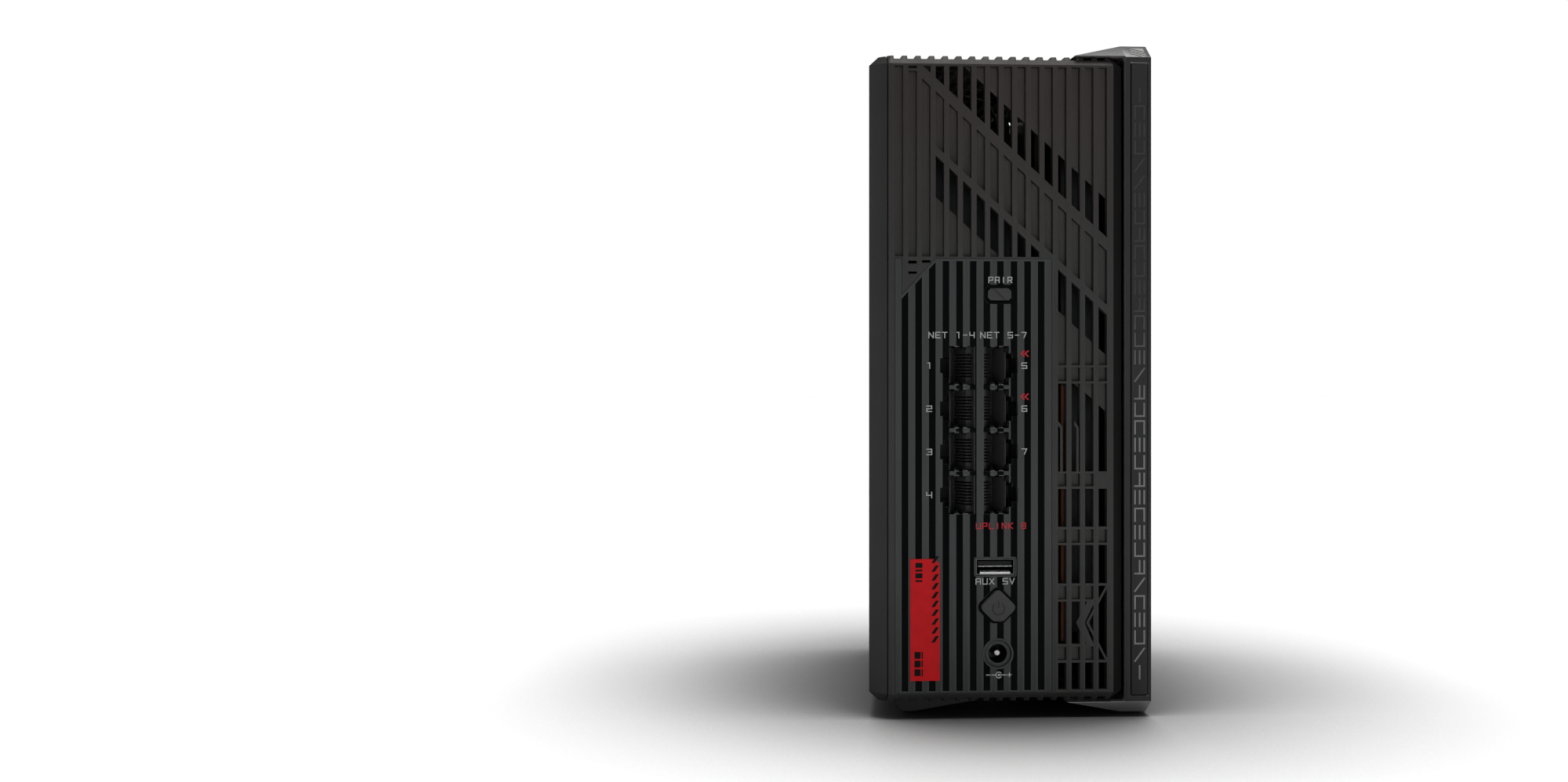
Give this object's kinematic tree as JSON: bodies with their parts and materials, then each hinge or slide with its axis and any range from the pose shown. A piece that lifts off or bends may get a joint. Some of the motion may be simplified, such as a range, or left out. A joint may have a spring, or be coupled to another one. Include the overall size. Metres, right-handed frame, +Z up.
{
  "type": "wireless router",
  "caption": "Upright tower wireless router with a ribbed rear face, stepped network sockets, push buttons, a side fin and vented shell on low feet.",
  "frame": {"origin": "centre of the footprint box, on the surface that the router stands on", "axes": "+Z up; -Y towards the face with the sockets; +X to the right of a viewer who looks at that face"},
  "size_m": [0.092, 0.15, 0.22],
  "materials": {
    "case_plastic": "fine moulded texture, warm dark grey",
    "cover_plastic": "smooth satin, slightly blue dark grey",
    "fin_plastic": null,
    "channel_plastic": "matte black",
    "panel_plastic": "satin dark grey ribs over glossy black grooves",
    "button_plastic": "fine satin texture",
    "gloss_black": "polished black",
    "foot_rubber": "matte",
    "bright_steel": "plated sheet",
    "sink_aluminium": "extruded",
    "copper": "dull copper sheet",
    "contact_gold": "gold plated",
    "circuit_board": "solder resist",
    "lead_jacket": "thin black jacket",
    "label_red": "printed film, satin",
    "light_diffuser": "translucent white"
  },
  "bodies": {
    "housing": {"left_side_cover": "cover_plastic", "channel_wall": "channel_plastic", "top_grille": "case_plastic", "base_tray": "case_plastic", "front_cover": "case_plastic", "front_light_guide": "light_diffuser", "status_light_pipe": "light_diffuser", "rear_grille": "case_plastic", "port_panel": "panel_plastic", "red_label": "label_red", "jack_housing": "gloss_black", "jack_contacts_left": "contact_gold", "jack_contacts_right": "contact_gold", "jack_shield": "bright_steel", "usb_shell": "bright_steel", "usb_tongue": "gloss_black", "dc_jack_body": "gloss_black", "dc_jack_pin": "bright_steel", "power_switch": "gloss_black", "pairing_switch": "gloss_black", "right_cover": "cover_plastic", "fin_insert": "fin_plastic", "right_pad_rear": "foot_rubber", "right_pad_front": "foot_rubber", "left_foot": "cover_plastic", "left_foot_pad": "foot_rubber", "main_board": "circuit_board", "board_carrier": "channel_plastic", "board_screw_1": "bright_steel", "board_screw_2": "bright_steel", "board_screw_3": "bright_steel", "board_screw_4": "bright_steel", "rf_shield_upper": "bright_steel", "rf_shield_lower": "bright_steel", "heatsink_left": "sink_aluminium", "heatsink_right": "sink_aluminium", "heat_spreader": "copper", "antenna_1": "circuit_board", "antenna_2": "circuit_board", "antenna_3": "circuit_board", "antenna_4": "circuit_board", "antenna_lead_1": "lead_jacket", "antenna_lead_2": "lead_jacket", "antenna_lead_3": "lead_jacket", "antenna_lead_4": "lead_jacket"},
    "power_button": {"power_button": "button_plastic"},
    "pairing_button": {"pairing_button": "button_plastic"}
  },
  "joints": [
    {"name": "power_press", "type": "slide", "parent": "housing", "child": "power_button", "axis": [0, 1, 0], "range_m": [0, 0.0015], "stiffness_N_per_m": 400},
    {"name": "pairing_press", "type": "slide", "parent": "housing", "child": "pairing_button", "axis": [0, 1, 0], "range_m": [0, 0.0008], "stiffness_N_per_m": 500}
  ]
}
